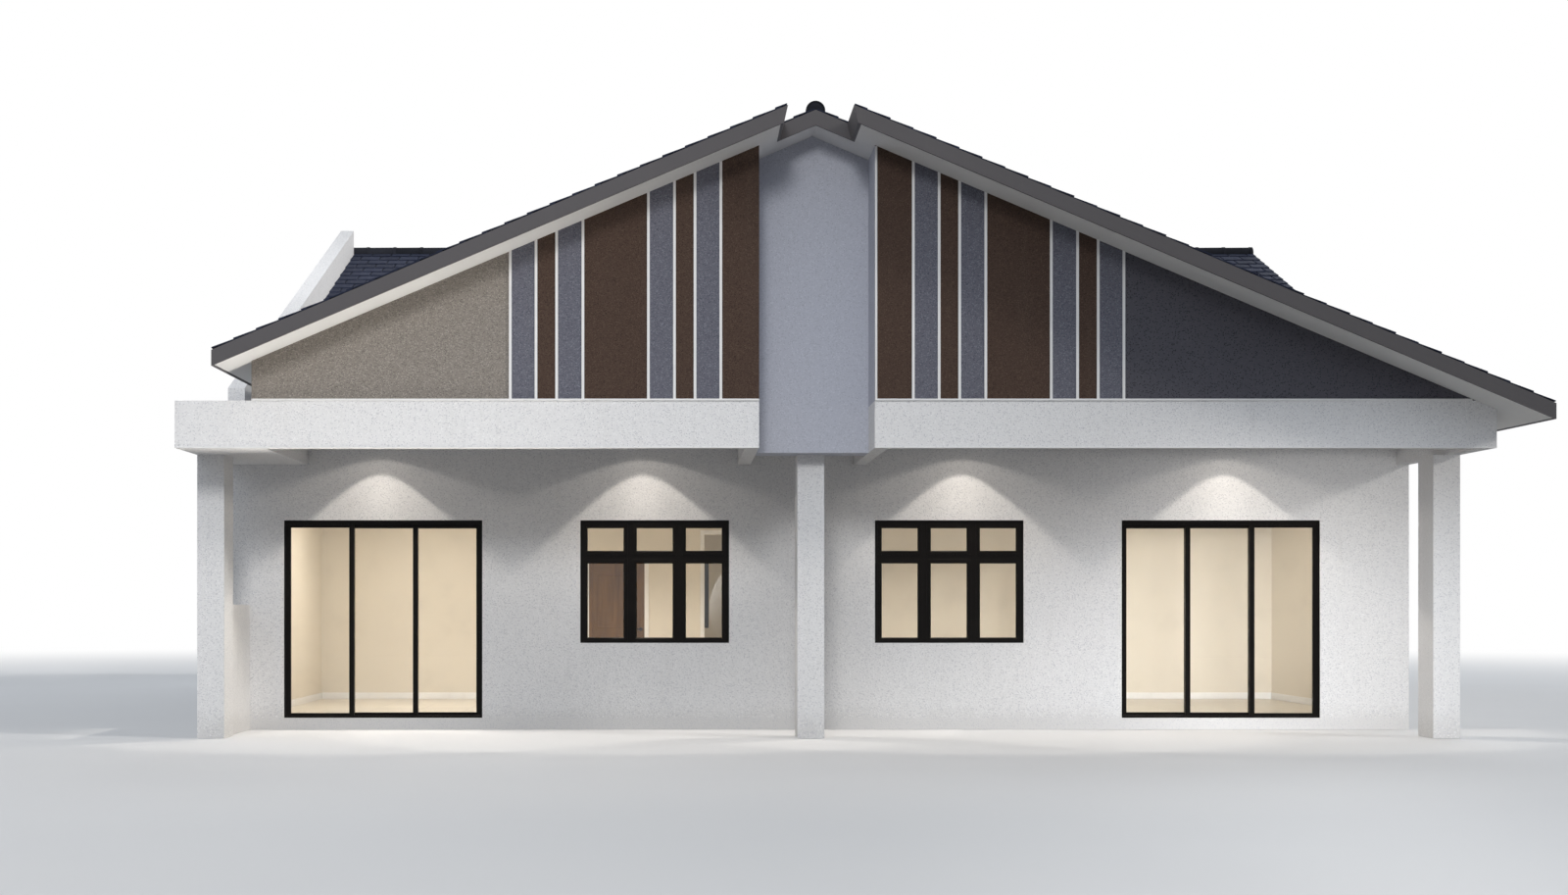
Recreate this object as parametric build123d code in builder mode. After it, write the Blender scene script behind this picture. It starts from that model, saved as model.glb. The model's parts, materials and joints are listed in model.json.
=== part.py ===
"""Gabled block of two mirrored single-storey terraced dwellings, in millimetres.

X runs along the street from the ridge of the street gable, Y from the main ridge
towards the back garden, Z up from the ground. The block ends on the left at the
plain wall that the next house of the row joins.
"""

import os

from build123d import *

os.makedirs("parts", exist_ok=True)

# Plan
party_line = 6700  # centre of the party wall on the left, from the ridge plane
end_face = 7250  # outer face of the end wall on the right
front_span = 7750  # main ridge to the outer face of the front wall
rear_span = 7750  # main ridge to the outer face of the rear wall
wall = 200
thin_wall = 150  # gable walls and cross beams
partition_wall = 110
living_depth = 4600  # clear depth of the front rooms

# Levels, each from the ground or from the level named
floor_top = 140
opening_head = 2500
head_to_ceiling = 400
ceiling_board = 60
head_to_beam = 663
beam_height = 504
beam_to_ceiling = 207  # underside of the beams to the verandah's ceiling
slab_thickness = 100
gutter_gap = 20  # between the party slab and the main roof's eave above it
plate_drop = 67  # top of the front and rear walls below the top of the beams

# Street gable and verandah
verandah_depth = 1550  # main wall to the front of the columns
gable_projection = 990  # front of the columns to the face of the gable walls
column_width = 300
column_depth = 450
strip_half = 617  # half of the recessed strip between the two gable walls
strip_advance = 290  # face of the strip in front of the face of the centre column
gable_setback = 670  # side wall of the left wing from the party line
party_slab_width = 950
low_wall_height = 1490

# Roofs
main_rise = 3290  # top of the front and rear walls to the soffit under the main ridge
ridge_drop = 240  # street gable's ridge below the main ridge
soffit_drop = 95  # gable's soffit at the end wall's face below the top of the beams
deck_height = 165  # upright height of the roof deck and of the boards at its edges
tile_height = 45  # upright height that the tiles add
board = 30
gable_overhang = 600
strip_overhang = 520
left_overhang = 290
end_overhang = 370
rear_overhang = 436
parapet_rise = 395  # party wall above the deck, on the street's side
parapet_stop = 130  # from the ridge plane to the end of the parapet
cap_radius = 105
notch_top = 330  # half of the gap between the wings of the gable roof, at the tiles
notch_bottom = 385  # the same at the soffit

# Front doors, three panels each
door_pier = 410  # between the party wall and the left door; the right one mirrors it
door_width = 2370
door_recess = 20
door_frame_depth = 150
door_jamb = 20
door_head = 50
door_sill = 25
stile = 58
top_rail = 38
bottom_rail = 30
sash_thickness = 34
track_gap = 12
track_start = 8
running_gap = 5
runner_gap = 0.3
track_width = 8
track_height = 15
track_side_gap = 2
glass_thickness = 8

# Windows
window_width = 1778
window_sill = 1035
window_near = 871  # edge of the front window nearer to the ridge plane
rear_window_gap = 1467  # between the two rear windows of a dwelling
end_window_places = (1500, 5200)
window_recess = 20
window_frame_depth = 80
window_side = 76
window_top = 83
window_bottom = 53
mullion = 138
transom = 130
upper_pane = 292

# White trims on the gable walls, out from the ridge plane, with a band inside each
trim_centres = (1026, 1301, 1520, 1798, 2496, 2776, 2996, 3270)
trim_width = 29
trim_thickness = 14
band_thickness = 8

# Downlights
downlight_places = (-5030, -1900, 1900, 5030)
downlight_radius = 55
downlight_height = 12
downlight_from_wall = 330

# Faces and slopes that follow from the sizes above
front_y = -front_span
rear_y = rear_span
column_y = front_y - verandah_depth
gable_y = column_y - gable_projection
front_eave_y = gable_y - gable_overhang
strip_y = column_y - strip_advance
strip_eave_y = strip_y - strip_overhang
party_outer = party_line + wall / 2
party_inner = party_line - wall / 2
end_inner = end_face - wall
verandah_left = party_line + column_width / 2
door_outer = party_inner - door_pier
door_inner = door_outer - door_width
window_centre = window_near + window_width / 2
rear_window_outer = window_centre + window_width + rear_window_gap
gable_left_face = party_line - gable_setback
party_slab_edge = verandah_left - party_slab_width
gable_eave_left = gable_left_face + left_overhang
eave_right = end_face + end_overhang
main_eave = rear_y + rear_overhang
room_ceiling = opening_head + head_to_ceiling
beam_bottom = opening_head + head_to_beam
beam_top = beam_bottom + beam_height
verandah_ceiling_level = beam_bottom + beam_to_ceiling
slab_top = verandah_ceiling_level + slab_thickness
wall_head = beam_top - plate_drop
main_apex = wall_head + main_rise + deck_height
gable_apex = main_apex - ridge_drop
main_fall = main_rise / front_span  # drop of the main roof for each length out from its ridge
rear_fall = main_rise / rear_span
gable_rise = gable_apex - deck_height - (beam_top - soffit_drop)
gable_fall = gable_rise / end_face


def gable_top(x):
    """Top of the street gable's deck at distance x from its ridge."""
    return gable_apex - gable_fall * abs(x)


def gable_under(x):
    """Underside of the street gable's deck."""
    return gable_top(x) - deck_height


def main_top(y):
    """Top of the main roof's deck at depth y, in front of its ridge or behind it."""
    return main_apex - (rear_fall if y > 0 else main_fall) * abs(y)


def main_under(y):
    """Underside of the main roof's deck."""
    return main_top(y) - deck_height


def valley_y(x):
    """Depth of the valley between the two roofs at distance x from the ridge plane."""
    return -(ridge_drop + gable_fall * abs(x)) / main_fall


def main_depth(level):
    """Depth at which the underside of the main roof's street slope is at a level."""
    return (level + deck_height - main_apex) / main_fall


def keep(piece, label):
    """Label a finished piece and write it out."""
    piece.label = label
    export_step(piece, f"parts/{label}.step")


def block(x0, x1, y0, y1, z0, z1):
    """Add an upright block between two faces each way to the current part."""
    with Locations(((x0 + x1) / 2, (y0 + y1) / 2, z0)):
        Box(x1 - x0, y1 - y0, z1 - z0, align=(Align.CENTER, Align.CENTER, Align.MIN))


def cross_plate(outline, y0, y1):
    """Plate with an outline across the house, in X and Z, from depth y0 to y1."""
    with BuildPart() as plate:
        with BuildSketch(Plane.XZ.offset(-y1)):
            Polygon(*outline, align=None)
        extrude(amount=y1 - y0)
    return plate.part


def long_plate(outline, x0, x1):
    """Plate with an outline along the house's depth, in Y and Z, from x0 to x1."""
    with BuildPart() as plate:
        with BuildSketch(Plane.YZ.offset(x0)):
            Polygon(*outline, align=None)
        extrude(amount=x1 - x0)
    return plate.part


# Floor slab, up to the outer faces of the walls that stand on it
with BuildPart() as floor_slab:
    block(-party_outer, end_face, front_y, rear_y, 0, floor_top)
keep(floor_slab.part, "floor_slab")

# Front wall, split beside and over each door
front_back = front_y + wall
party_eave = main_depth(slab_top + gutter_gap)


def window_hole(centre, y0, y1):
    """Cut one window's opening through a wall that runs along the street."""
    with Locations((centre, (y0 + y1) / 2, window_sill)):
        Box(
            window_width,
            y1 - y0,
            opening_head - window_sill,
            align=(Align.CENTER, Align.CENTER, Align.MIN),
            mode=Mode.SUBTRACT,
        )


for side, sign, inner_face in (("left", -1, party_inner), ("right", 1, end_inner)):
    with BuildPart() as pier:
        near, far = sorted((sign * door_outer, sign * inner_face))
        block(near, far, front_y, front_back, floor_top, wall_head)
    keep(pier.part, f"front_pier_{side}")

    with BuildPart() as head:
        near, far = sorted((sign * door_inner, sign * door_outer))
        block(near, far, front_y, front_back, opening_head, wall_head)
    keep(head.part, f"front_head_{side}")

    with BuildPart() as bay:
        near, far = sorted((sign * wall / 2, sign * door_inner))
        block(near, far, front_y, front_back, floor_top, wall_head)
        window_hole(sign * window_centre, front_y, front_back)
    keep(bay.part, f"front_window_bay_{side}")

    with BuildPart() as rear_wall:
        near, far = sorted((sign * wall / 2, sign * inner_face))
        block(near, far, rear_y - wall, rear_y, floor_top, wall_head)
        for place in (window_centre, rear_window_outer):
            window_hole(sign * place, rear_y - wall, rear_y)
    keep(rear_wall.part, f"rear_wall_{side}")

# Side walls under the slopes of the main roof
end_profile = [
    (front_y, floor_top),
    (rear_y, floor_top),
    (rear_y, main_under(rear_y)),
    (0, main_under(0)),
    (front_y, main_under(front_y)),
]
with BuildPart() as end_wall:
    add(long_plate(end_profile, end_inner, end_face))
    for place in end_window_places:
        with Locations((end_face - wall / 2, place, window_sill)):
            Box(
                wall,
                window_width,
                opening_head - window_sill,
                align=(Align.CENTER, Align.CENTER, Align.MIN),
                mode=Mode.SUBTRACT,
            )
keep(end_wall.part, "end_wall")

# The parapet stands on the street's side only: behind it the wall ends level with the deck
parapet_profile = [
    (front_y, floor_top),
    (rear_y, floor_top),
    (rear_y, main_under(rear_y)),
    (main_eave, main_under(main_eave)),
    (main_eave, main_top(main_eave)),
    (0, main_top(0)),
    (-parapet_stop, main_top(-parapet_stop)),
    (-parapet_stop, main_top(-parapet_stop) + parapet_rise),
    (party_eave, main_top(party_eave) + parapet_rise),
    (party_eave, slab_top),
    (front_y, slab_top),
]
keep(long_plate(parapet_profile, -party_outer, -party_inner), "party_wall_left")

# The party wall between the two dwellings stops under both roofs
centre_under = gable_under(wall / 2)
centre_profile = [
    (front_y, floor_top),
    (rear_y, floor_top),
    (rear_y, main_under(rear_y)),
    (0, main_under(0)),
    (main_depth(centre_under), centre_under),
    (front_y, centre_under),
]
keep(long_plate(centre_profile, -wall / 2, wall / 2), "party_wall_centre")

# Cross walls behind the front rooms, each with an open passage at its inner end
passage_width = 1000
living_back = front_back + living_depth
for side, sign, inner_face in (("left", -1, party_inner), ("right", 1, end_inner)):
    with BuildPart() as partition:
        near, far = sorted((sign * wall / 2, sign * inner_face))
        block(near, far, living_back, living_back + partition_wall, floor_top, room_ceiling)
        near, far = sorted((sign * wall / 2, sign * (wall / 2 + passage_width)))
        with Locations(((near + far) / 2, living_back + partition_wall / 2, floor_top)):
            Box(
                far - near,
                partition_wall,
                opening_head - floor_top,
                align=(Align.CENTER, Align.CENTER, Align.MIN),
                mode=Mode.SUBTRACT,
            )
    keep(partition.part, f"cross_wall_{side}")

# Ceilings of the rooms, one board for each dwelling
with BuildPart() as room_ceilings:
    for near, far in ((-party_inner, -wall / 2), (wall / 2, end_inner)):
        block(near, far, front_back, rear_y - wall, room_ceiling, room_ceiling + ceiling_board)
keep(room_ceilings.part, "room_ceilings")

# Columns and the low wall of the verandah
column_back = column_y + column_depth
column_faces = (
    ("left", -party_line - column_width / 2),
    ("centre", -column_width / 2),
    ("right", end_face - column_width),
)
for side, face in column_faces:
    with BuildPart() as column:
        block(face, face + column_width, column_y, column_back, 0, beam_bottom)
    keep(column.part, f"column_{side}")

with BuildPart() as low_wall:
    block(-party_outer, -party_inner, column_back, front_y, 0, low_wall_height)
keep(low_wall.part, "low_wall")

# Beams under the gable walls
beam_back = gable_y + thin_wall
with BuildPart() as front_beam_left:
    block(-verandah_left, -strip_half, gable_y, beam_back, beam_bottom, beam_top)
keep(front_beam_left.part, "front_beam_left")

right_corner = (gable_under(0) - beam_top) / gable_fall  # where the soffit meets the beam's top
right_beam_profile = [
    (strip_half, beam_bottom),
    (end_face, beam_bottom),
    (end_face, gable_under(end_face)),
    (right_corner, beam_top),
    (strip_half, beam_top),
]
keep(cross_plate(right_beam_profile, gable_y, beam_back), "front_beam_right")

with BuildPart() as cross_beams:
    for near in (-strip_half - thin_wall, strip_half):
        block(near, near + thin_wall, beam_back, front_y, beam_bottom, beam_top)
    right_near = end_face - thin_wall
    block(right_near, end_face, beam_back, front_y, beam_bottom, gable_under(end_face))
keep(cross_beams.part, "cross_beams")

# Dropped slab along the party line and the ceiling slabs between the beams
with BuildPart() as party_slab:
    block(-verandah_left, -party_slab_edge, beam_back, front_y, beam_bottom, slab_top)
keep(party_slab.part, "party_slab")

strip_back = strip_y + thin_wall
with BuildPart() as verandah_ceilings:
    block(
        -party_slab_edge,
        -strip_half - thin_wall,
        beam_back,
        front_y,
        verandah_ceiling_level,
        slab_top,
    )
    block(-strip_half, strip_half, strip_back, front_y, verandah_ceiling_level, slab_top)
    block(
        strip_half + thin_wall,
        end_face - thin_wall,
        beam_back,
        front_y,
        verandah_ceiling_level,
        slab_top,
    )
keep(verandah_ceilings.part, "verandah_ceilings")

# Recessed strip of wall, on a foot that carries it over the centre column
strip_profile = [
    (-strip_half, beam_bottom),
    (strip_half, beam_bottom),
    (strip_half, gable_under(strip_half)),
    (0, gable_under(0)),
    (-strip_half, gable_under(strip_half)),
]
with BuildPart() as strip_wall:
    add(cross_plate(strip_profile, strip_y, strip_back))
    block(
        -strip_half,
        strip_half,
        strip_back,
        column_y + thin_wall,
        beam_bottom,
        verandah_ceiling_level,
    )
keep(strip_wall.part, "strip_wall")

# Gable walls between the returns beside the strip and the roof's eaves
return_outer = strip_half + thin_wall
left_gable_profile = [
    (-return_outer, beam_top),
    (-gable_left_face, beam_top),
    (-gable_left_face, gable_under(gable_left_face)),
    (-return_outer, gable_under(return_outer)),
]
keep(cross_plate(left_gable_profile, gable_y, beam_back), "gable_wall_left")

right_gable_profile = [
    (return_outer, beam_top),
    (right_corner, beam_top),
    (return_outer, gable_under(return_outer)),
]
keep(cross_plate(right_gable_profile, gable_y, beam_back), "gable_wall_right")

with BuildPart() as gable_returns:
    for sign in (-1, 1):
        return_profile = [
            (sign * strip_half, beam_top),
            (sign * return_outer, beam_top),
            (sign * return_outer, gable_under(return_outer)),
            (sign * strip_half, gable_under(strip_half)),
        ]
        add(cross_plate(return_profile, gable_y, strip_back))
keep(gable_returns.part, "gable_returns")

# Side wall of the left wing, back to where the main roof rises past its top
side_inner = gable_left_face - thin_wall
side_back = main_depth(gable_under(gable_left_face) - deck_height)
side_profile = [
    (-gable_left_face, slab_top),
    (-side_inner, slab_top),
    (-side_inner, gable_under(side_inner)),
    (-gable_left_face, gable_under(gable_left_face)),
]
with BuildPart() as gable_side_wall:
    add(cross_plate(side_profile, beam_back, side_back))
    with Locations((-gable_left_face, front_y, 0)):
        Box(
            thin_wall,
            side_back - front_y,
            wall_head,
            align=(Align.MIN, Align.MIN, Align.MIN),
            mode=Mode.SUBTRACT,
        )
keep(gable_side_wall.part, "gable_side_wall")

# Coloured bands and the white trims between them, on the faces of the gable walls


def gable_bands(edges, thickness, label):
    """Bands between pairs of edges on both gable walls, up to the soffit."""
    with BuildPart() as bands:
        for sign in (-1, 1):
            for near, far in edges:
                outline = [
                    (sign * near, beam_top),
                    (sign * far, beam_top),
                    (sign * far, gable_under(far)),
                    (sign * near, gable_under(near)),
                ]
                add(cross_plate(outline, gable_y - thickness, gable_y))
    keep(bands.part, label)


trim_edges = [(centre - trim_width / 2, centre + trim_width / 2) for centre in trim_centres]
band_starts = [strip_half] + [far for near, far in trim_edges[:-1]]
band_edges = [(start, near) for start, (near, far) in zip(band_starts, trim_edges)]
gable_bands(band_edges[0::2], band_thickness, "brown_bands")
gable_bands(band_edges[1::2], band_thickness, "grey_bands")
gable_bands(trim_edges, trim_thickness, "band_trims")

# Notch between the wings of the gable roof: its sides lean outwards going down
notch_high = gable_top(notch_top) + tile_height
notch_low = gable_under(notch_bottom)
notch_lean = (notch_bottom - notch_top) / (notch_high - notch_low)


def notch_corner(inset, apex):
    """Where the notch's side, moved out by inset, meets the slope from an apex."""
    start = notch_top + inset + notch_lean * (notch_high - apex)
    x = start / (1 - notch_lean * gable_fall)
    return (x, apex - gable_fall * x)


def mirrored(outline, sign):
    """Outline on the left or right of the ridge plane."""
    return [(sign * x, z) for x, z in outline]


# Boards along the street gable's verges, round the notch and across the strip
gable_soffit_apex = gable_apex - deck_height
with BuildPart() as barge_boards:
    for sign, eave in ((-1, gable_eave_left), (1, eave_right)):
        verge = [
            notch_corner(0, gable_apex),
            (eave, gable_top(eave)),
            (eave, gable_under(eave)),
            notch_corner(0, gable_soffit_apex),
        ]
        add(cross_plate(mirrored(verge, sign), front_eave_y, front_eave_y + board))
        cheek = [
            notch_corner(0, gable_apex),
            notch_corner(board, gable_apex),
            notch_corner(board, gable_soffit_apex),
            notch_corner(0, gable_soffit_apex),
        ]
        add(cross_plate(mirrored(cheek, sign), front_eave_y, strip_eave_y + board))
        strip_verge = [
            (0, gable_apex),
            notch_corner(0, gable_apex),
            notch_corner(0, gable_soffit_apex),
            (0, gable_soffit_apex),
        ]
        add(cross_plate(mirrored(strip_verge, sign), strip_eave_y, strip_eave_y + board))
keep(barge_boards.part, "barge_boards")


def beyond_valley(sign, far):
    """Plan of what lies behind the valley of the street gable's roof on one side."""
    return [
        (0, valley_y(0)),
        (sign * far, valley_y(far)),
        (sign * far, main_eave),
        (0, main_eave),
    ]


# Roof of the street gable, one deck a slope, with its soffit as the underside
for side, sign, eave in (("left", -1, gable_eave_left), ("right", 1, eave_right)):
    edge = eave - board
    wing = [
        notch_corner(board, gable_apex),
        (edge, gable_top(edge)),
        (edge, gable_under(edge)),
        notch_corner(board, gable_soffit_apex),
    ]
    whole = [
        (0, gable_apex),
        (edge, gable_top(edge)),
        (edge, gable_under(edge)),
        (0, gable_soffit_apex),
    ]
    with BuildPart() as gable_roof:
        add(cross_plate(mirrored(wing, sign), front_eave_y + board, strip_eave_y + board))
        add(cross_plate(mirrored(whole, sign), strip_eave_y + board, valley_y(0)))
        with BuildSketch(Plane.XY):
            Polygon(*beyond_valley(sign, eave), align=None)
        extrude(amount=main_apex, mode=Mode.SUBTRACT)
    keep(gable_roof.part, f"gable_roof_{side}")

# Front slope of the main roof, cut to the valleys; beside the party wall it runs
# on to its own eave, under the left overhang of the street gable
overhang_clear = main_depth(gable_under(gable_eave_left) - tile_height - deck_height)
verge_inner = eave_right - board


def main_slope(y0, y1, x0, x1):
    """Part of the main roof's deck between two depths on one side of the ridge."""
    outline = [
        (y0, main_top(y0)),
        (y1, main_top(y1)),
        (y1, main_under(y1)),
        (y0, main_under(y0)),
    ]
    return long_plate(outline, x0, x1)


left_valley_end = valley_y(gable_eave_left)
right_valley_end = valley_y(eave_right)
street_side = [
    (0, valley_y(0)),
    (eave_right, right_valley_end),
    (eave_right, right_valley_end - board),
    (-gable_eave_left, right_valley_end - board),
    (-gable_eave_left, left_valley_end),
]
with BuildPart() as main_roof_front:
    add(main_slope(party_eave + board, 0, -party_inner, 0))
    add(main_slope(right_valley_end, 0, 0, verge_inner))
    with BuildSketch(Plane.XY):
        Polygon(*street_side, align=None)
    extrude(amount=main_apex, mode=Mode.SUBTRACT)
    under_overhang = main_slope(
        party_eave + board, overhang_clear, -gable_eave_left, -gable_left_face
    )
    add(under_overhang)
keep(main_roof_front.part, "main_roof_front")

with BuildPart() as main_roof_rear:
    add(main_slope(0, main_eave - board, -party_inner, verge_inner))
keep(main_roof_rear.part, "main_roof_rear")

# Boards along the eaves and along the verge over the end wall
with BuildPart() as eave_boards:
    for sign, eave, valley_end in (
        (-1, gable_eave_left, left_valley_end),
        (1, eave_right, right_valley_end),
    ):
        edge = eave - board
        outline = [
            (edge, gable_top(edge)),
            (eave, gable_top(eave)),
            (eave, gable_under(eave)),
            (edge, gable_under(edge)),
        ]
        add(cross_plate(mirrored(outline, sign), front_eave_y + board, valley_end))
    add(main_slope(main_eave - board, main_eave, -party_inner, verge_inner))
    add(main_slope(party_eave, party_eave + board, -party_inner, -gable_left_face))
keep(eave_boards.part, "eave_boards")

end_verge = [
    (right_valley_end, main_top(right_valley_end)),
    (0, main_apex),
    (main_eave, main_top(main_eave)),
    (main_eave, main_under(main_eave)),
    (0, main_under(0)),
    (right_valley_end, main_under(right_valley_end)),
]
keep(long_plate(end_verge, verge_inner, eave_right), "end_barge_boards")

# Half-round caps over both ridges, bedded on the decks


def cap_section(apex, left_fall, right_fall):
    """Section of a ridge cap: a disc cut off where the two slopes pass."""
    reach = 2 * cap_radius
    with Locations((0, apex)):
        Circle(cap_radius)
    roof = [
        (0, apex),
        (reach, apex - right_fall * reach),
        (reach, apex - 2 * reach),
        (-reach, apex - 2 * reach),
        (-reach, apex - left_fall * reach),
    ]
    Polygon(*roof, align=None, mode=Mode.SUBTRACT)


with BuildPart() as gable_ridge_cap:
    with BuildSketch(Plane.XZ):
        cap_section(gable_apex, gable_fall, gable_fall)
    extrude(amount=-strip_eave_y)
    under_main = [
        (0, main_apex),
        (0, floor_top),
        (party_eave, floor_top),
        (party_eave, main_top(party_eave)),
    ]
    with BuildSketch(Plane.YZ.offset(-cap_radius)):
        Polygon(*under_main, align=None)
    extrude(amount=2 * cap_radius, mode=Mode.SUBTRACT)
keep(gable_ridge_cap.part, "gable_ridge_cap")

with BuildPart() as main_ridge_cap:
    with BuildSketch(Plane.YZ.offset(-party_outer)):
        cap_section(main_apex, main_fall, rear_fall)
    extrude(amount=party_outer + eave_right)
keep(main_ridge_cap.part, "main_ridge_cap")

# Sliding doors: the outer panel is fixed, the middle one slides over it and the
# inner one over both, each on a rail of its own
door_front = front_y + door_recess
clear_width = door_width - 2 * door_jamb
sill_level = floor_top + door_sill
head_level = opening_head - door_head
sash_width = (clear_width + 2 * stile - running_gap) / 3
sash_bottom = sill_level + running_gap
sash_top = head_level - running_gap
track_pitch = sash_thickness + track_gap
fixed_near = door_outer - door_jamb - sash_width
middle_near = fixed_near + stile - sash_width
inner_near = middle_near + stile - sash_width


def span(sign, near, far):
    """Two distances from the ridge plane as rising X values on one side."""
    return sorted((sign * near, sign * far))


def sash_ring(sign, near, track, bottom, top):
    """Add a sash's stiles and rails to the current part."""
    start = door_front + track_start + track * track_pitch
    block(*span(sign, near, near + sash_width), start, start + sash_thickness, bottom, top)
    with Locations((sign * (near + sash_width / 2), start + sash_thickness / 2, bottom + bottom_rail)):
        Box(
            sash_width - 2 * stile,
            sash_thickness,
            top - bottom - bottom_rail - top_rail,
            align=(Align.CENTER, Align.CENTER, Align.MIN),
            mode=Mode.SUBTRACT,
        )


def sash_pane(sign, near, track, bottom, top):
    """Add the glass of a sash to the current part."""
    middle = door_front + track_start + track * track_pitch + sash_thickness / 2
    block(
        *span(sign, near + stile, near + sash_width - stile),
        middle - glass_thickness / 2,
        middle + glass_thickness / 2,
        bottom + bottom_rail,
        top - top_rail,
    )


for side, sign in (("left", -1), ("right", 1)):
    with BuildPart() as door_frame:
        block(
            *span(sign, door_inner, door_outer),
            door_front,
            door_front + door_frame_depth,
            floor_top,
            opening_head,
        )
        with Locations((sign * (door_inner + door_width / 2), door_front, sill_level)):
            Box(
                clear_width,
                door_frame_depth,
                head_level - sill_level,
                align=(Align.CENTER, Align.MIN, Align.MIN),
                mode=Mode.SUBTRACT,
            )
        for track in (1, 2):
            middle = door_front + track_start + track * track_pitch + sash_thickness / 2
            block(
                *span(sign, door_inner + door_jamb, door_outer - door_jamb),
                middle - track_width / 2,
                middle + track_width / 2,
                sill_level,
                sill_level + track_height,
            )
        sash_ring(sign, fixed_near, 0, sill_level, head_level)
    keep(door_frame.part, f"door_frame_{side}")

    for place, near, track in (("middle", middle_near, 1), ("inner", inner_near, 2)):
        with BuildPart() as sash:
            sash_ring(sign, near, track, sash_bottom, sash_top)
            start = door_front + track_start + track * track_pitch
            with Locations((sign * (near + sash_width / 2), start + sash_thickness / 2, sash_bottom)):
                Box(
                    sash_width,
                    track_width + 2 * track_side_gap,
                    track_height - running_gap + runner_gap,
                    align=(Align.CENTER, Align.CENTER, Align.MIN),
                    mode=Mode.SUBTRACT,
                )
        keep(sash.part, f"sash_{side}_{place}")

        with BuildPart() as pane:
            sash_pane(sign, near, track, sash_bottom, sash_top)
        keep(pane.part, f"sash_glass_{side}_{place}")

with BuildPart() as fixed_glass:
    for sign in (-1, 1):
        sash_pane(sign, fixed_near, 0, sill_level, head_level)
keep(fixed_glass.part, "fixed_door_glass")

# Casement windows, three lights wide and two high, all of one pattern
window_height = opening_head - window_sill
pane_width = (window_width - 2 * window_side - 2 * mullion) / 3
pane_step = pane_width + mullion
upper_bottom = window_height - window_top - upper_pane
lower_pane = upper_bottom - transom - window_bottom


def lights():
    """The six lights of a window, in its own plane, from its sill's middle."""
    for column in (-1, 0, 1):
        with Locations((column * pane_step, upper_bottom)):
            Rectangle(pane_width, upper_pane, align=(Align.CENTER, Align.MIN))
        with Locations((column * pane_step, window_bottom)):
            Rectangle(pane_width, lower_pane, align=(Align.CENTER, Align.MIN))


def window_set(planes, frame_label, glass_label):
    """Frames and glass of the windows that stand on the given planes."""
    with BuildPart() as frames:
        for plane in planes:
            with BuildSketch(plane):
                Rectangle(window_width, window_height, align=(Align.CENTER, Align.MIN))
                with BuildSketch(Plane.XY, mode=Mode.SUBTRACT):
                    lights()
            extrude(amount=-window_frame_depth)
    keep(frames.part, frame_label)
    with BuildPart() as glass:
        for plane in planes:
            with BuildSketch(plane.offset(-(window_frame_depth - glass_thickness) / 2)):
                lights()
            extrude(amount=-glass_thickness)
    keep(glass.part, glass_label)


def window_plane(x, y, across, outward):
    """Plane of a window's face, with its origin at the middle of the sill."""
    return Plane(origin=(x, y, window_sill), x_dir=across, z_dir=outward)


front_windows = [
    window_plane(x, front_y + window_recess, (1, 0, 0), (0, -1, 0))
    for x in (-window_centre, window_centre)
]
window_set(front_windows, "front_window_frames", "front_window_glass")

rear_windows = [
    window_plane(x, rear_y - window_recess, (-1, 0, 0), (0, 1, 0))
    for x in (-rear_window_outer, -window_centre, window_centre, rear_window_outer)
]
end_windows = [
    window_plane(end_face - window_recess, y, (0, 1, 0), (1, 0, 0)) for y in end_window_places
]
window_set(rear_windows + end_windows, "rear_window_frames", "rear_window_glass")

# Downlights under the verandah's ceiling
with BuildPart() as downlights:
    for place in downlight_places:
        with Locations((place, front_y - downlight_from_wall, verandah_ceiling_level)):
            Cylinder(
                downlight_radius,
                downlight_height,
                align=(Align.CENTER, Align.CENTER, Align.MAX),
            )
keep(downlights.part, "downlights")
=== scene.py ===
"""Looks of the single-storey terraced house: wall coats, roof tiles, caps, door and window
fittings, and the studio round them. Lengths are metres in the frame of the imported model:
X to the right along the front, Y from the front to the back, Z up, with the ridge plane at X 0."""

import json
import math
import random

import bmesh
import bpy
from mathutils import Matrix, Vector

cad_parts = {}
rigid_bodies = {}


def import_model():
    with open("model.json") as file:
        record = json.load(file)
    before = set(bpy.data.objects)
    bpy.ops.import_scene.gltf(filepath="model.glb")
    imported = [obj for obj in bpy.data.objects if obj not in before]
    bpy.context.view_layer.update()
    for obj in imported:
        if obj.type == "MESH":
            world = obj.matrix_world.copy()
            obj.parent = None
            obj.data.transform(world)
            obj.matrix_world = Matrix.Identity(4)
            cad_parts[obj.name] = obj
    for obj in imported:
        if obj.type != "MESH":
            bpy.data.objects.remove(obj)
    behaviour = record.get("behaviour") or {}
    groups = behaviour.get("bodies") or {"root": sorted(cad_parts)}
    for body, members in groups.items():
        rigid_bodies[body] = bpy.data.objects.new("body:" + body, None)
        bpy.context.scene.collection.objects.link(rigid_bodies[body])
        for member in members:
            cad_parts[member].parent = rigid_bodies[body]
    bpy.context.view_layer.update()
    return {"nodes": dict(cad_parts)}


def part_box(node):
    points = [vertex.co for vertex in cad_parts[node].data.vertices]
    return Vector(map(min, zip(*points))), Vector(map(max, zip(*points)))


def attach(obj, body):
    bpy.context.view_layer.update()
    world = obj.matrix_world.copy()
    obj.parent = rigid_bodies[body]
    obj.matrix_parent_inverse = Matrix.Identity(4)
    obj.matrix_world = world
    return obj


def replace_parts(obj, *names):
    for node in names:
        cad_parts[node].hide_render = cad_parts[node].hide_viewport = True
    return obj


for leftover in list(bpy.data.objects):
    bpy.data.objects.remove(leftover)
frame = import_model()
scene = bpy.context.scene
east, north, up = Vector((1, 0, 0)), Vector((0, 1, 0)), Vector((0, 0, 1))
south = -north  # out of the front

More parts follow.
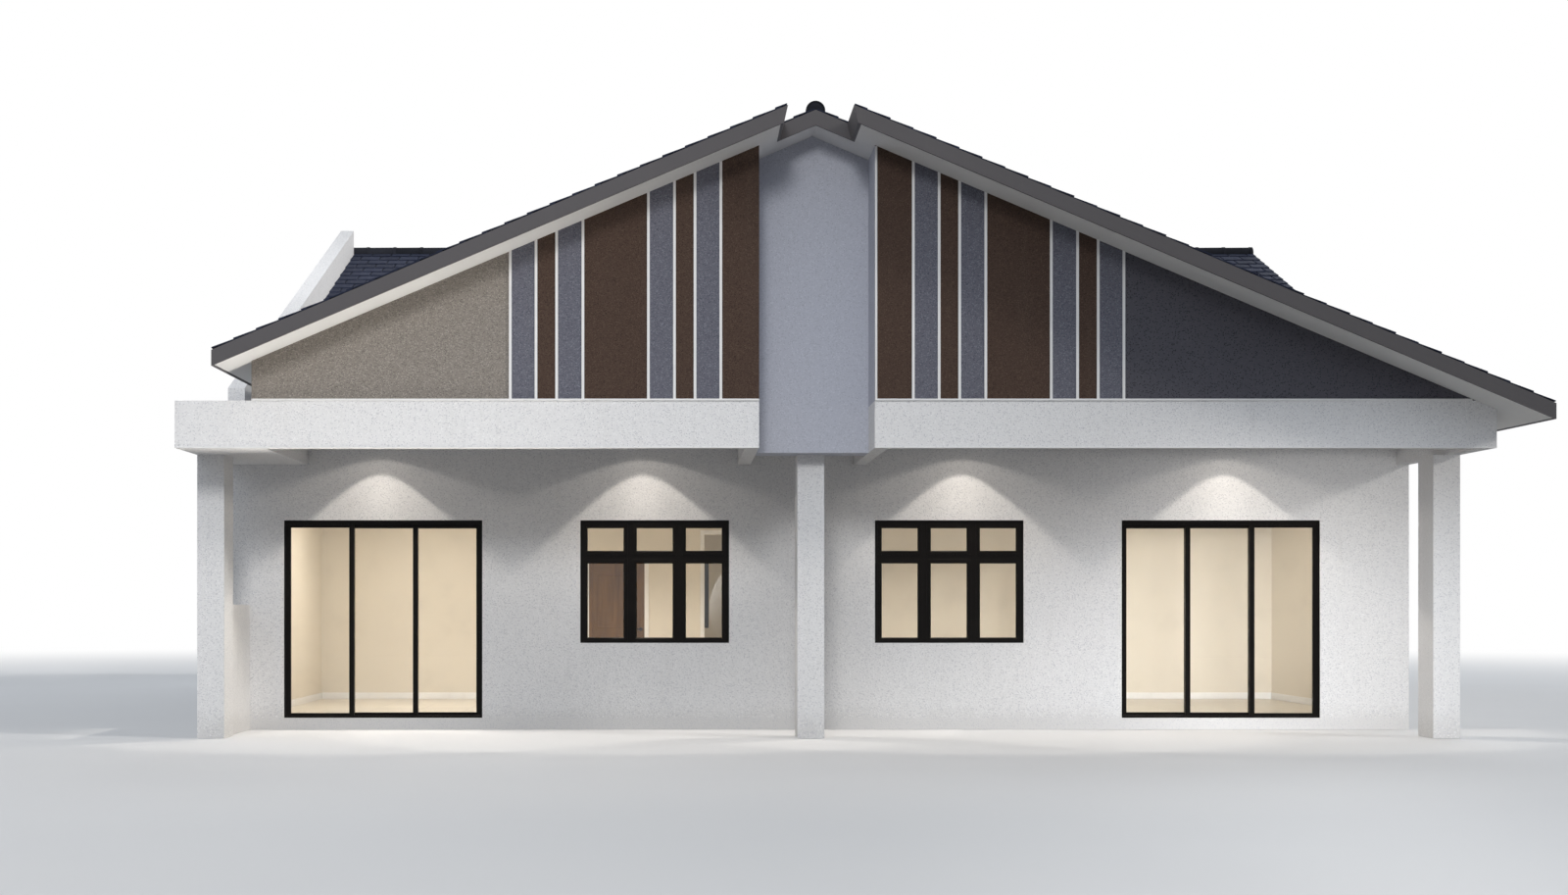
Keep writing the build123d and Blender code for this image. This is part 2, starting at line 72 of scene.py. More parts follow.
# Levels and lines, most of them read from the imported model
party_wall, deck_height = 0.2, 0.165
floor_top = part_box("floor_slab")[1].z
party_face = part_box("party_wall_left")[0].x
left_party = party_face + party_wall
board_low, board_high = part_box("barge_boards")
end_low, end_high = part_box("end_barge_boards")
right_end = end_high.x
main_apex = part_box("main_roof_front")[1].z
main_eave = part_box("eave_boards")[1].y
main_fall = (main_apex - deck_height - end_low.z) / main_eave
gable_apex = board_high.z
gable_fall = (gable_apex - deck_height - board_low.z) / right_end
left_eave, verge_front = -board_low.x, board_low.y
strip_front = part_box("gable_ridge_cap")[0].y
gable_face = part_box("gable_wall_left")[0].y
beam_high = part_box("front_beam_left")[1].z


def main_top(y):
    """Top of the main roof's deck at depth y."""
    return main_apex - main_fall * abs(y)


def gable_top(x):
    """Top of the front gable's deck at distance x from its ridge."""
    return gable_apex - gable_fall * abs(x)


def valley_y(x):
    """Depth of the valley between the two roofs at distance x from the ridge plane."""
    return -(main_apex - gable_top(x)) / main_fall


# Helpers for shader nodes


def wire(target, value):
    """Gives a socket a value, for a colour red, green and blue, or links another socket to it."""
    if isinstance(value, bpy.types.NodeSocket):
        target.id_data.links.new(value, target)
    elif value is not None:
        target.default_value = (*value, 1.0) if target.type == "RGBA" else value


def add_node(tree, kind, inputs=None, **settings):
    """A shader node with its settings, and its inputs by name or number."""
    made = tree.nodes.new("ShaderNode" + kind)
    for name, value in settings.items():
        setattr(made, name, value)
    for name, value in (inputs or {}).items():
        wire(made.inputs[name], value)
    return made


def calc(tree, operation, *values):
    """Result of a Math node."""
    made = add_node(tree, "Math", operation=operation)
    for place, value in enumerate(values):
        wire(made.inputs[place], value)
    return made.outputs[0]


def times(tree, first, second):
    """Product of two values."""
    return calc(tree, "MULTIPLY", first, second)


def blend(tree, factor, first, second, how="MIX"):
    """Two colours mixed by a factor."""
    made = add_node(tree, "Mix", data_type="RGBA", blend_type=how)
    for name, value in (("Factor", factor), ("A", first), ("B", second)):
        sockets = [s for s in made.inputs if s.name == name and s.enabled]
        wire(sockets[0], value)
    return [s for s in made.outputs if s.enabled][0]


def span_map(tree, value, low, high, to_low=0.0, to_high=1.0):
    """A value's range mapped onto another, smoothly and clamped."""
    made = add_node(
        tree,
        "MapRange",
        {"Value": value, "From Min": low, "From Max": high, "To Min": to_low, "To Max": to_high},
        interpolation_type="SMOOTHSTEP",
    )
    return made.outputs[0]


def place_of(tree, stretch=(1.0, 1.0, 1.0)):
    """Object coordinates in metres, stretched along the axes."""
    coordinates = add_node(tree, "TexCoord").outputs["Object"]
    if stretch == (1.0, 1.0, 1.0):
        return coordinates
    return add_node(tree, "Mapping", {"Vector": coordinates, "Scale": stretch}).outputs[0]


def noise(tree, scale, detail=2.0, roughness=0.5, stretch=(1.0, 1.0, 1.0)):
    """Value of a noise texture, 0 to 1 and mostly near 0.5."""
    inputs = {"Vector": place_of(tree, stretch), "Scale": scale, "Detail": detail, "Roughness": roughness}
    return add_node(tree, "TexNoise", inputs).outputs[0]


def split(tree, place):
    """X, Y and Z of a vector."""
    return add_node(tree, "SeparateXYZ", {0: place}).outputs


def shader_group(name, takes, gives):
    """An empty node group with its sockets: names with a default value each."""
    tree = bpy.data.node_groups.new(name, "ShaderNodeTree")
    kinds = {float: "NodeSocketFloat", tuple: "NodeSocketColor"}
    for title, value in takes.items():
        socket = tree.interface.new_socket(title, in_out="INPUT", socket_type=kinds[type(value)])
        socket.default_value = (*value, 1.0) if isinstance(value, tuple) else value
    for title, kind in gives.items():
        tree.interface.new_socket(title, in_out="OUTPUT", socket_type=kinds[kind])
    return tree, tree.nodes.new("NodeGroupInput").outputs, tree.nodes.new("NodeGroupOutput").inputs


def place_group(tree, group, **inputs):
    """Outputs of a group placed in a material; input names have _ for a space."""
    made = tree.nodes.new("ShaderNodeGroup")
    made.node_tree = group
    for name, value in inputs.items():
        wire(made.inputs[name.replace("_", " ")], value)
    return made.outputs


# Effects that several materials use


def make_grain():
    """Rough sprayed wall coat: relief of its grains, and light and dark flecks."""
    takes = {"Grain Size": 0.012, "Fleck Share": 0.1}
    gives = {"Height": float, "Light Flecks": float, "Dark Flecks": float}
    tree, take, give = shader_group("Wall coat grain", takes, gives)
    rate = calc(tree, "DIVIDE", 1.0, take["Grain Size"])
    grains = noise(tree, rate, 3.0, 0.6)
    pebbles = add_node(tree, "TexVoronoi", {"Vector": place_of(tree), "Scale": rate}, feature="F1")
    rounded = calc(tree, "SUBTRACT", 1.0, pebbles.outputs["Distance"])
    height = calc(tree, "ADD", times(tree, grains, 0.7), times(tree, rounded, 0.3))
    wire(give["Height"], height)
    chance = split(tree, pebbles.outputs["Color"])[0]
    middle = span_map(tree, pebbles.outputs["Distance"], 0.28, 0.5, 1.0, 0.0)
    light = calc(tree, "LESS_THAN", chance, take["Fleck Share"])
    dark = calc(tree, "GREATER_THAN", chance, calc(tree, "SUBTRACT", 1.0, take["Fleck Share"]))
    wire(give["Light Flecks"], times(tree, light, middle))
    wire(give["Dark Flecks"], times(tree, dark, middle))
    return tree


def make_weathering():
    """Tone that drifts over metres, faint rain runs and a soiled foot."""
    takes = {
        "Colour": (0.8, 0.8, 0.8),
        "Soil Colour": (0.3, 0.27, 0.23),
        "Drift": 0.06,
        "Runs": 0.1,
        "Foot": 0.2,
    }
    tree, take, give = shader_group("Weathering", takes, {"Colour": tuple})
    height = split(tree, place_of(tree))[2]
    clouds = noise(tree, 0.7, 3.0, 0.55)
    runs = noise(tree, 1.6, 4.0, 0.6, stretch=(5.0, 5.0, 0.35))
    run_mask = times(tree, span_map(tree, runs, 0.52, 0.78), take["Runs"])
    patches = noise(tree, 6.0, 3.0, 0.6)
    foot_line = calc(tree, "ADD", height, times(tree, patches, -0.25))
    foot_mask = times(tree, span_map(tree, foot_line, -0.05, 0.22, 1.0, 0.0), take["Foot"])
    soil = calc(tree, "MAXIMUM", run_mask, foot_mask)
    lift = times(tree, calc(tree, "SUBTRACT", clouds, 0.5), take["Drift"])
    tone = calc(tree, "ADD", 1.0, times(tree, lift, 2.0))
    grey = add_node(tree, "CombineColor", {0: tone, 1: tone, 2: tone}).outputs[0]
    drifted = blend(tree, 1.0, take["Colour"], grey, "MULTIPLY")
    wire(give["Colour"], blend(tree, soil, drifted, take["Soil Colour"]))
    return tree


def make_indoors():
    """1 on surfaces inside the rooms, 0 outside, by their place."""
    takes = {"Left": -6.65, "Right": 7.1, "Front": -7.6, "Back": 7.6, "Top": 3.2}
    tree, take, give = shader_group("Indoors", takes, {"Mask": float})
    x, y, z = split(tree, place_of(tree))
    mask = calc(tree, "LESS_THAN", z, take["Top"])
    for place, low, high in ((x, "Left", "Right"), (y, "Front", "Back")):
        mask = times(tree, mask, calc(tree, "GREATER_THAN", place, take[low]))
        mask = times(tree, mask, calc(tree, "LESS_THAN", place, take[high]))
    wire(give["Mask"], mask)
    return tree


grain = make_grain()
weathering = make_weathering()
indoors = make_indoors()

# Finishes

white_coat = (0.80, 0.79, 0.785)
room_cream = (0.76, 0.70, 0.60)
soil_brown = (0.34, 0.31, 0.27)
outdoors = {"Soil_Colour": soil_brown, "Drift": 0.035, "Runs": 0.07, "Foot": 0.16}
tile_navy = (0.024, 0.028, 0.047)


def new_material(name, roughness, metallic=0.0, gloss=0.5):
    """A material with its tree and its Principled shader."""
    made = bpy.data.materials.new(name)
    made.use_nodes = True
    shader = made.node_tree.nodes["Principled BSDF"]
    shader.inputs["Roughness"].default_value = roughness
    shader.inputs["Metallic"].default_value = metallic
    shader.inputs["Specular IOR Level"].default_value = gloss
    return made, made.node_tree, shader


def paint(shader, colour, roughness=None):
    """Colour of a shader, and its roughness where that varies."""
    wire(shader.inputs["Base Color"], colour)
    wire(shader.inputs["Roughness"], roughness)


def mix_out(tree, share, first, second, output="Material Output"):
    """Two shaders mixed by a share, on to the output."""
    mix = add_node(tree, "MixShader", {0: share, 1: first.outputs[0], 2: second.outputs[0]})
    wire(tree.nodes[output].inputs["Surface"], mix.outputs[0])


def seen_directly(tree):
    """1 for rays from the camera, off a reflection or through a pane, 0 for bounced light."""
    sight = add_node(tree, "LightPath").outputs
    seen = calc(tree, "MAXIMUM", sight["Is Camera Ray"], sight["Is Glossy Ray"])
    return calc(tree, "MAXIMUM", seen, sight["Is Transmission Ray"])


def bump(tree, shader, height, depth, strength=1.0):
    """Relief of a depth in metres on a shader's normal."""
    inputs = {"Strength": strength, "Distance": depth, "Height": height}
    wire(shader.inputs["Normal"], add_node(tree, "Bump", inputs).outputs[0])


def wall_coat(name, colours, grain_size, share=0.32, relief=0.0035, indoor=False, **weather):
    """Sprayed coat, its colours plain, light and dark flecks; weathered, and cream on inner faces."""
    made, tree, shader = new_material(name, 0.9, gloss=0.15)
    plain, light, dark = colours
    soiling = {"Soil_Colour": soil_brown, "Drift": 0.05, "Runs": 0.02, "Foot": 0.0} | weather
    flecked = place_group(tree, weathering, Colour=plain, **soiling)["Colour"]
    coat = place_group(tree, grain, Grain_Size=grain_size, Fleck_Share=share)
    flecked = blend(tree, coat["Light Flecks"], flecked, light)
    flecked = blend(tree, coat["Dark Flecks"], flecked, dark)
    height = coat["Height"]
    if indoor:
        inside = place_group(tree, indoors)["Mask"]
        flecked = blend(tree, inside, flecked, room_cream)
        height = times(tree, height, span_map(tree, inside, 0.0, 1.0, 1.0, 0.05))
        wire(shader.inputs["Roughness"], span_map(tree, inside, 0.0, 1.0, 0.88, 0.6))
    paint(shader, flecked)
    bump(tree, shader, height, relief)
    return made


def make_room_paint():
    """Smooth cream paint with a faint roller texture."""
    made, tree, shader = new_material("Room paint", 0.6)
    drift = noise(tree, 1.1)
    darker = tuple(0.93 * value for value in room_cream)
    paint(shader, blend(tree, drift, room_cream, darker))
    bump(tree, shader, noise(tree, 260.0), 0.0006, 0.5)
    return made


def make_roof_deck():
    """Painted soffit below; above, a near-black tile bed: partly the dark underlay, partly painted shade
    that darkens the gaps between the tiles.
    """
    made, tree, shader = new_material("Soffit and tile bed", 0.75)
    facing = split(tree, add_node(tree, "NewGeometry").outputs["Normal"])[2]
    above = calc(tree, "GREATER_THAN", facing, 0.3)
    drift = noise(tree, 0.9, 3.0)
    soffit = blend(tree, drift, (0.78, 0.77, 0.75), (0.70, 0.69, 0.67))
    # Near-black bed: partly the dark underlay, partly painted shade in the gaps between the tiles
    bed = blend(tree, drift, (0.005, 0.005, 0.006), (0.003, 0.003, 0.004))
    paint(shader, blend(tree, above, soffit, bed))
    bump(tree, shader, noise(tree, 180.0, 3.0), 0.001, 0.5)
    return made


def make_tile(name, colour):
    """Matt concrete roof tile: a tone of its own a tile, sanded face, faint lichen and dust."""
    made, tree, shader = new_material(name, 0.75, gloss=0.04)
    tone = add_node(tree, "Attribute", attribute_name="tone").outputs["Fac"]
    bright = tuple(1.45 * value for value in colour)
    faced = blend(tree, tone, colour, bright)
    mottle = span_map(tree, noise(tree, 9.0, 4.0, 0.6), 0.45, 0.75)
    dusty = blend(tree, times(tree, mottle, 0.22), faced, (0.060, 0.062, 0.078))
    lichen = span_map(tree, noise(tree, 3.1, 5.0, 0.7), 0.66, 0.74)
    spotted = blend(tree, times(tree, lichen, 0.25), dusty, (0.10, 0.10, 0.08))
    paint(shader, spotted, span_map(tree, mottle, 0.0, 1.0, 0.68, 0.85))
    bump(tree, shader, noise(tree, 420.0), 0.0008, 0.6)
    return made


def make_board():
    """Dark grey satin paint on boards, dustier in patches."""
    made, tree, shader = new_material("Dark board paint", 0.5, gloss=0.25)
    colour = (0.104, 0.097, 0.100)
    weather = place_group(tree, weathering, Colour=colour, Drift=0.06, Runs=0.03, Foot=0.0)
    fibres = noise(tree, 12.0, 4.0, stretch=(3.0, 3.0, 40.0))
    paint(shader, weather["Colour"], span_map(tree, fibres, 0.3, 0.7, 0.42, 0.62))
    bump(tree, shader, fibres, 0.0006, 0.5)
    return made


def make_frame_coat():
    """Near-black powder coat with its fine orange-peel texture and a little dust."""
    made, tree, shader = new_material("Black powder coat", 0.42, gloss=0.07)
    dust = span_map(tree, noise(tree, 5.0, 4.0, 0.6), 0.5, 0.8)
    share = times(tree, dust, 0.10)
    colour = blend(tree, share, (0.0075, 0.0065, 0.006), (0.045, 0.042, 0.037))
    paint(shader, colour, span_map(tree, dust, 0.0, 1.0, 0.32, 0.5))
    bump(tree, shader, noise(tree, 700.0, 1.0), 0.0003, 0.4)
    return made


def make_trim_paint():
    """Smooth white paint on trims and beads, slightly soiled."""
    made, tree, shader = new_material("White trim paint", 0.42)
    trim_white = (0.83, 0.82, 0.81)
    weather = place_group(tree, weathering, Colour=trim_white, Drift=0.03, Runs=0.12, Foot=0.0)
    paint(shader, weather["Colour"])
    bump(tree, shader, noise(tree, 320.0), 0.0003, 0.5)
    return made


def make_floor():
    """Large pale floor tiles with grout lines inside, plastered edge outside."""
    made, tree, shader = new_material("Floor tiles and edge", 0.3)
    inputs = {
        "Vector": place_of(tree),
        "Color1": (0.66, 0.61, 0.53),
        "Color2": (0.61, 0.56, 0.49),
        "Mortar": (0.30, 0.27, 0.24),
        "Scale": 1.0,
        "Mortar Size": 0.003,
        "Mortar Smooth": 0.2,
        "Brick Width": 0.6,
        "Row Height": 0.6,
    }
    tiles = add_node(tree, "TexBrick", inputs, offset=0.0)
    veins = span_map(tree, noise(tree, 2.2, 6.0, 0.7), 0.35, 0.7)
    share = times(tree, veins, 0.25)
    marble = blend(tree, share, tiles.outputs[0], (0.72, 0.68, 0.6))
    facing = split(tree, add_node(tree, "NewGeometry").outputs["Normal"])[2]
    above = calc(tree, "GREATER_THAN", facing, 0.5)
    weather = place_group(tree, weathering, Colour=white_coat, **outdoors)
    coat = place_group(tree, grain, Grain_Size=0.012, Fleck_Share=0.26)
    edge = blend(tree, coat["Dark Flecks"], weather["Colour"], (0.60, 0.595, 0.615))
    roughness = span_map(tree, above, 0.0, 1.0, 0.9, 0.28)
    paint(shader, blend(tree, above, edge, marble), roughness)
    relief = times(tree, coat["Height"], calc(tree, "SUBTRACT", 1.0, above))
    bump(tree, shader, relief, 0.003)
    return made


def make_glass():
    """Clear float glass that lets light through without a hard shadow."""
    made, tree, shader = new_material("Clear glass", 0.0)
    shader.inputs["Transmission Weight"].default_value = 1.0
    shader.inputs["IOR"].default_value = 1.45
    shader.inputs["Specular IOR Level"].default_value = 0.3
    dust = span_map(tree, noise(tree, 3.0, 4.0, 0.6), 0.45, 0.8)
    tint = blend(tree, dust, (0.97, 0.985, 0.98), (0.93, 0.945, 0.94))
    paint(shader, tint)
    passing = add_node(tree, "LightPath").outputs["Is Shadow Ray"]
    mix_out(tree, passing, shader, add_node(tree, "BsdfTransparent"))
    return made


def make_lamp():
    """Lit pale diffuser of a downlight."""
    made, tree, shader = new_material("Lamp diffuser", 0.4)
    glow = span_map(tree, noise(tree, 60.0), 0.3, 0.7)
    warm = blend(tree, glow, (1.0, 0.90, 0.74), (1.0, 0.93, 0.80))
    paint(shader, warm)
    wire(shader.inputs["Emission Color"], warm)
    shader.inputs["Emission Strength"].default_value = 1.6
    return made


def make_timber():
    """Brown oiled timber with its grain upright."""
    made, tree, shader = new_material("Oiled timber", 0.5, gloss=0.15)
    figure = noise(tree, 38.0, 5.0, 0.65, stretch=(1.0, 1.0, 0.05))
    pores = noise(tree, 420.0, stretch=(1.0, 1.0, 0.03))
    growth = span_map(tree, figure, 0.3, 0.7)
    toned = blend(tree, growth, (0.085, 0.038, 0.008), (0.165, 0.080, 0.020))
    dark_pores = times(tree, span_map(tree, pores, 0.56, 0.7), 0.5)
    colour = blend(tree, dark_pores, toned, (0.035, 0.018, 0.009))
    paint(shader, colour, span_map(tree, pores, 0.4, 0.7, 0.42, 0.6))
    bump(tree, shader, pores, 0.0003)
    return made


finishes = {
    "white_plaster": wall_coat(
        "White textured wall coat",
        (white_coat, (0.91, 0.90, 0.895), (0.57, 0.565, 0.585)),
        0.014,
        share=0.28,
        indoor=True,
        **outdoors,
    ),
    "grey_plaster": wall_coat(
        "Warm grey rough coat",
        ((0.262, 0.234, 0.206), (0.42, 0.38, 0.335), (0.135, 0.120, 0.106)),
        0.012,
    ),
    "charcoal_plaster": wall_coat(
        "Charcoal rough coat",
        ((0.098, 0.095, 0.111), (0.115, 0.115, 0.135), (0.034, 0.034, 0.041)),
        0.015,
    ),
    "brown_coat": wall_coat(
        "Brown rough coat",
        ((0.076, 0.049, 0.038), (0.122, 0.084, 0.062), (0.036, 0.025, 0.019)),
        0.011,
        share=0.30,
        relief=0.003,
    ),
    "blue_grey_coat": wall_coat(
        "Blue-grey speckled coat",
        ((0.143, 0.143, 0.172), (0.235, 0.245, 0.285), (0.070, 0.073, 0.095)),
        0.012,
    ),
    # Recessed strip: a pale grey coat, whose blue tint and part of its darkness are painted shade of the
    # recess
    "pearl_plaster": wall_coat(
        "Pale grey wall coat in painted bluish shade",
        ((0.53, 0.54, 0.60), (0.63, 0.64, 0.70), (0.41, 0.42, 0.47)),
        0.014,
        share=0.28,
        Drift=0.03,
        Runs=0.03,
    ),
    "white_trim": make_trim_paint(),
    "roof_deck": make_roof_deck(),
    "ridge_tile": make_tile("Ridge cap", (0.020, 0.021, 0.026)),
    "edge_board": make_board(),
    "black_frame": make_frame_coat(),
    "clear_glass": make_glass(),
    "room_paint": make_room_paint(),
    "floor_finish": make_floor(),
    "lamp": make_lamp(),
}
roof_tile_finish = make_tile("Roof tile", tile_navy)
timber = make_timber()

for node in frame["nodes"].values():
    for material_slot in node.material_slots:
        slot_name = material_slot.material.name.split(".")[0]
        material_slot.material = finishes[slot_name]

# Helpers for pieces


def add_piece(name, form, slot_name, smooth_angle=None, finish=None, body="house"):
    """An object made of a bmesh, with its slot's finish or its own finish, and the body that it rides on."""
    mesh = bpy.data.meshes.new(name)
    bmesh.ops.recalc_face_normals(form, faces=form.faces[:])
    form.to_mesh(mesh)
    form.free()
    mesh.materials.append(finish or finishes[slot_name])
    if smooth_angle:
        mesh.shade_smooth()
        mesh.set_sharp_from_angle(angle=math.radians(smooth_angle))
    piece = bpy.data.objects.new(name, mesh)
    scene.collection.objects.link(piece)
    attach(piece, body)
    return piece


def add_bar(form, xs, ys, zs, edge=0.003):
    """A box between two places each way, in any order, with its edges rounded off."""
    low, high = (Vector(corner) for corner in zip(*(sorted(pair) for pair in (xs, ys, zs))))
    matrix = Matrix.Translation((low + high) / 2) @ Matrix.Diagonal((*(high - low), 1.0))
    made = bmesh.ops.create_cube(form, size=1.0, matrix=matrix)
    if edge:
        edges = list({line for corner in made["verts"] for line in corner.link_edges})
        bmesh.ops.bevel(form, geom=edges, offset=edge, segments=2, profile=0.6, affect="EDGES")


def skin(form, rings, ends=True):
    """Faces between rings of points, one ring after another, and over both ends."""
    loops = [[form.verts.new(point) for point in ring] for ring in rings]
    count = len(loops[0])
    for near, far in zip(loops, loops[1:]):
        for place in range(count):
            after = (place + 1) % count
            form.faces.new((near[place], near[after], far[after], far[place]))
    if ends:
        form.faces.new(reversed(loops[0]))
        form.faces.new(loops[-1])
    return loops


def toned_skin(form, rings, tone, shade):
    """A skin whose points carry their own tone for the material."""
    for loop in skin(form, rings):
        for corner in loop:
            corner[tone] = shade


def spin(form, profile, centre, axis, side, steps=32):
    """A turned form: points of profile are (radius, distance along the axis)."""
    third = axis.cross(side)
    angles = [math.tau * step / steps for step in range(steps)]
    turns = [side * math.cos(angle) + third * math.sin(angle) for angle in angles]
    skin(form, [[centre + axis * along + turn * radius for turn in turns] for radius, along in profile])


# Roof tiles: flat interlocking tiles in staggered courses, cut to the valleys and verges

tile_cover, tile_course, tile_lap, tile_joint = 0.30, 0.255, 0.06, 0.015
tile_lift, tile_twist = 0.0012, 0.0015
nose_high, nose_thick, nose_round = 0.027, 0.013, 0.005
side_round, least_under, valley_gap = 0.004, 0.002, 0.012


def tile_rings(length):
    """Closed sections of one tile from nose to head: points are across, up the slope, off the deck."""
    fall = nose_thick / (length - tile_lap)
    half = (tile_cover - tile_joint) / 2
    rings = []
    for along, lowered in ((0.0, nose_round), (nose_round, 0.0), (length / 2, 0.0), (length, 0.0)):
        top = nose_high - fall * along - lowered
        under = max(nose_high - fall * along - nose_thick, least_under)
        left = [(-half, under), (-half, top - side_round), (-half + side_round, top)]
        right = [(-across, level) for across, level in reversed(left)]
        rings.append([(across, along, level) for across, level in left + right])
    return rings


def sides(region):
    """Each side of a region in plan as its two corners."""
    return zip(region, region[1:] + region[:1])


def within(region, corners):
    """Whether a tile's corners in plan may touch a convex region."""
    for (ax, ay), (bx, by) in sides(region):
        if all((bx - ax) * (y - ay) - (by - ay) * (x - ax) <= 0 for x, y in corners):
            return False
    return True


def cut_to(form, region):
    """Cuts a form to a convex region in plan, counter-clockwise, and closes the cut faces."""
    for (ax, ay), (bx, by) in sides(region):
        inward = Vector((ay - by, bx - ax, 0)).normalized()
        plane = {"plane_co": (ax, ay, 0), "plane_no": inward, "clear_inner": True}
        geom = form.verts[:] + form.edges[:] + form.faces[:]
        cut = bmesh.ops.bisect_plane(form, geom=geom, **plane)["geom_cut"]
        open_rim = [part for part in cut if isinstance(part, bmesh.types.BMEdge) and part.is_boundary]
        if open_rim:
            bmesh.ops.holes_fill(form, edges=open_rim)


def counter_clockwise(region):
    """The same region, its corners in counter-clockwise order."""
    area = sum(ax * by - bx * ay for (ax, ay), (bx, by) in sides(region))
    return region if area > 0 else region[::-1]


def lay_tiles(name, origin, across, uphill, span, rise, regions):
    """Tiles on one slope, cut to regions: origin on the deck's eave, span along it, rise up the slope."""
    normal = across.cross(uphill)
    courses = round(rise / tile_course)
    exposed = rise / courses
    length = exposed + tile_lap
    rings = tile_rings(length)
    chance = random.Random(name)
    whole = bmesh.new()
    whole.verts.layers.float.new("tone")
    for region in map(counter_clockwise, regions):
        form = bmesh.new()
        tone = form.verts.layers.float.new("tone")
        for course in range(courses):
            shift = tile_cover * (0.5 if course % 2 else 0.0)
            for column in range(-1, math.ceil(span / tile_cover) + 1):
                start = origin + across * (column * tile_cover + shift + tile_cover / 2)
                start = start + uphill * exposed * course
                lift = chance.uniform(-tile_lift, tile_lift)
                twist = chance.uniform(-tile_twist, tile_twist)
                shade = chance.random() ** 2
                corners = []
                for side, reach in ((-0.5, 0), (0.5, 0), (0.5, length), (-0.5, length)):
                    corners.append((start + across * tile_cover * side + uphill * reach).xy)
                if not within(region, corners):
                    continue
                placed = [
                    [start + across * v + uphill * (u + twist * v) + normal * (w + lift) for v, u, w in ring]
                    for ring in rings
                ]
                toned_skin(form, placed, tone, shade)
        cut_to(form, region)
        part = bpy.data.meshes.new("cut tiles")
        form.to_mesh(part)
        form.free()
        whole.from_mesh(part)
        bpy.data.meshes.remove(part)
    add_piece(name, whole, "ridge_tile", 32, roof_tile_finish)


def slope_up(run, fall):
    """Unit vector up a slope whose level direction is run."""
    return (run + up * fall).normalized()


tile_inset, ridge_line, notch_half = 0.002, 0.012, 0.352
verge_line = verge_front + tile_inset
end_line = right_end - tile_inset
left_wall_face = -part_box("gable_side_wall")[0].x
# Where the front slope's tiles still fit under the soffit of the gable's left eave
under_soffit = 0.045
overhang_clear = -(main_apex - (gable_top(left_eave) - deck_height - under_soffit)) / main_fall


def rectangle(left, right, front, back):
    """Region in plan between two lines each way."""
    return [(left, front), (right, front), (right, back), (left, back)]


def behind_valley(left, right):
    """Region of the main roof from the valley to the ridge."""
    front = [(x, valley_y(x) + valley_gap) for x in (left, right)]
    return front + [(right, -ridge_line), (left, -ridge_line)]


def before_valley(near, far, front):
    """Region of the front gable from a line in front to the valley."""
    return [(near, front), (far, front)] + [(x, valley_y(x) - valley_gap) for x in (far, near)]


def lay_main_tiles():
    """Both slopes of the main roof; the rear one runs on over the party wall."""
    rise = main_eave * math.hypot(1, main_fall)
    width = end_line - left_party
    front_regions = (
        rectangle(left_party, -left_eave, -main_eave, -ridge_line),
        behind_valley(-left_eave, 0),
        behind_valley(0, end_line),
        rectangle(-left_eave, -left_wall_face, -main_eave, overhang_clear),
    )
    origin = Vector((left_party, -main_eave, main_top(main_eave)))
    lay_tiles("main_tiles_front", origin, east, slope_up(north, main_fall), width, rise, front_regions)
    rear_region = rectangle(party_face + 2 * tile_inset, end_line, ridge_line, main_eave)
    origin = Vector((end_line, main_eave, main_top(main_eave)))
    uphill = slope_up(south, main_fall)
    lay_tiles("main_tiles_rear", origin, -east, uphill, width + party_wall, rise, [rear_region])


def lay_gable_tiles(side, sign, eave):
    """One slope of the front gable, cut round the notch at its ridge."""
    wing = before_valley(sign * notch_half, sign * eave, verge_line)
    crown = before_valley(sign * ridge_line, sign * notch_half, strip_front)
    back = valley_y(0)
    origin = Vector((sign * eave, back if sign < 0 else verge_line, gable_top(eave)))
    uphill = slope_up(-sign * east, gable_fall)
    rise = eave * math.hypot(1, gable_fall)
    lay_tiles(f"gable_tiles_{side}", origin, sign * north, uphill, back - verge_line, rise, [wing, crown])


lay_main_tiles()
lay_gable_tiles("left", -1, left_eave - tile_inset)
lay_gable_tiles("right", 1, end_line)

# Ridge caps, their end discs and the valley gutters

cap_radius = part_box("gable_ridge_cap")[1].x
cap_body = cap_radius - 0.007
cap_wall, cap_collar, cap_length, cap_overlap = 0.012, 0.045, 0.42, 0.02
cap_sweep, cap_reach = 16, math.radians(14)
bedding_inset, bedding_foot = 0.006, 0.02


def make_mortar():
    """Dark tinted bedding mortar under the ridge caps."""
    made, tree, shader = new_material("Bedding mortar", 0.95)
    mottled = noise(tree, 40.0, 4.0, 0.7)
    paint(shader, blend(tree, mottled, (0.03, 0.03, 0.032), (0.08, 0.08, 0.082)))
    bump(tree, shader, noise(tree, 150.0, 3.0), 0.002)
    return made


def make_flashing():
    """Dull dark metal of the valley gutters."""
    made, tree, shader = new_material("Valley metal", 0.45, 0.8)
    dull = noise(tree, 4.0, 4.0, 0.6)
    colour = blend(tree, dull, (0.07, 0.07, 0.075), (0.12, 0.12, 0.125))
    paint(shader, colour, span_map(tree, dull, 0.3, 0.7, 0.38, 0.6))
    return made


mortar = make_mortar()
flashing = make_flashing()


def arc(centre, side, radius, low, high, steps):
    """Points on an upright arc between two angles."""
    angles = [low + (high - low) * step / steps for step in range(steps + 1)]
    return [centre + (side * math.cos(angle) + up * math.sin(angle)) * radius for angle in angles]


